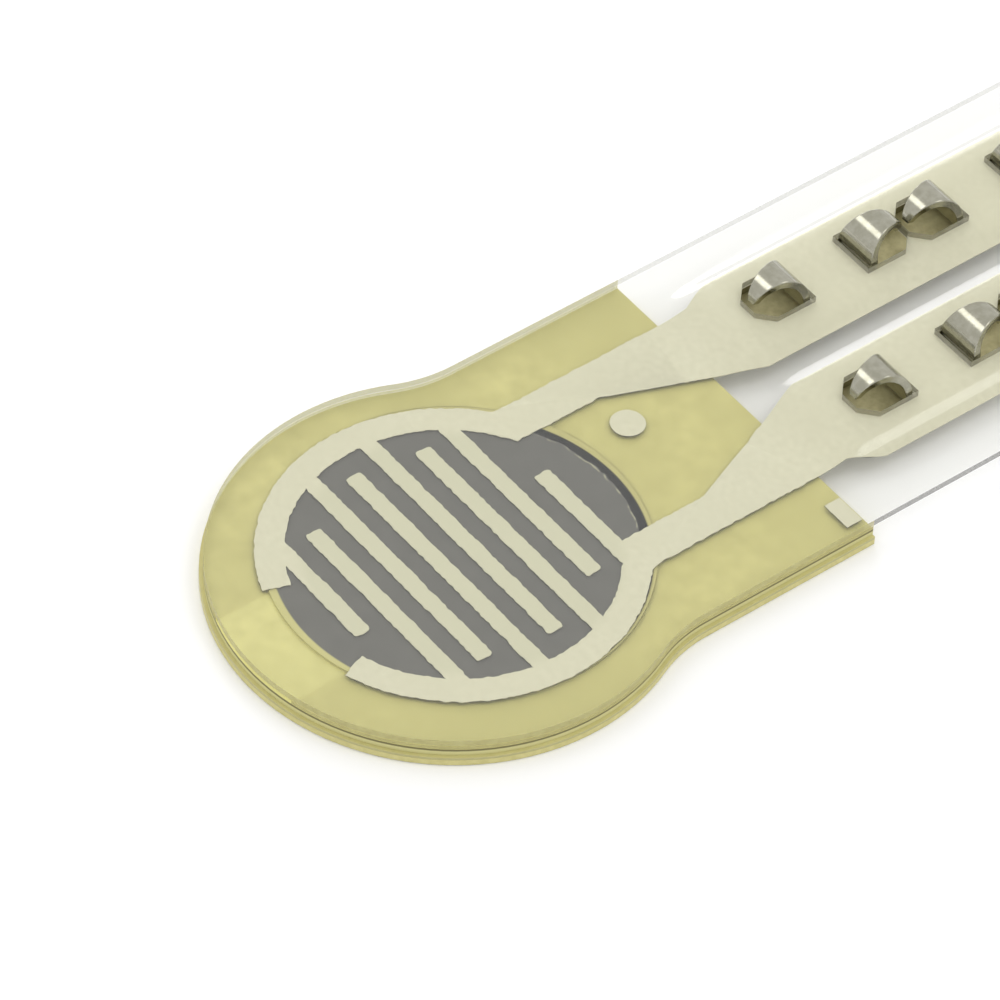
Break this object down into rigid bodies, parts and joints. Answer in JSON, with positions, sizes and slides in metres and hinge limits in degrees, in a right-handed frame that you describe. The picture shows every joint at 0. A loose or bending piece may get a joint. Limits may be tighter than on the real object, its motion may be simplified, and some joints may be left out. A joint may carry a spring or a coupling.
{
  "type": "force sensing resistor",
  "caption": "Thin round film force sensor on a flat clear tail: interleaved silver print over a dark ink disc in a yellow laminate, with crimped solder contacts.",
  "frame": {"origin": "on the underside, below the centre of the round head", "axes": "+Y along the tail towards the pins, +Z out of the side that is pressed"},
  "size_m": [0.0076, 0.0217, 0.001],
  "materials": {
    "clear_film": "clear glossy polyester film",
    "silver_ink": "cream-coloured printed silver ink",
    "yellow_adhesive": "yellowish clear adhesive",
    "carbon_ink": "dark grey printed carbon ink",
    "yellow_film": "yellowish film",
    "yellow_liner": "yellow-green release liner",
    "tinned_metal": "bright tin plate on thin sheet metal"
  },
  "bodies": {
    "root": {"top_film": "clear_film", "silver_trace_left": "silver_ink", "silver_trace_right": "silver_ink", "silver_dot": "silver_ink", "silver_bar": "silver_ink", "spacer_adhesive": "yellow_adhesive", "carbon_disc": "carbon_ink", "base_film": "yellow_film", "rear_adhesive": "yellow_adhesive", "release_liner": "yellow_liner", "contact_left": "tinned_metal", "contact_right": "tinned_metal"}
  },
  "joints": []
}
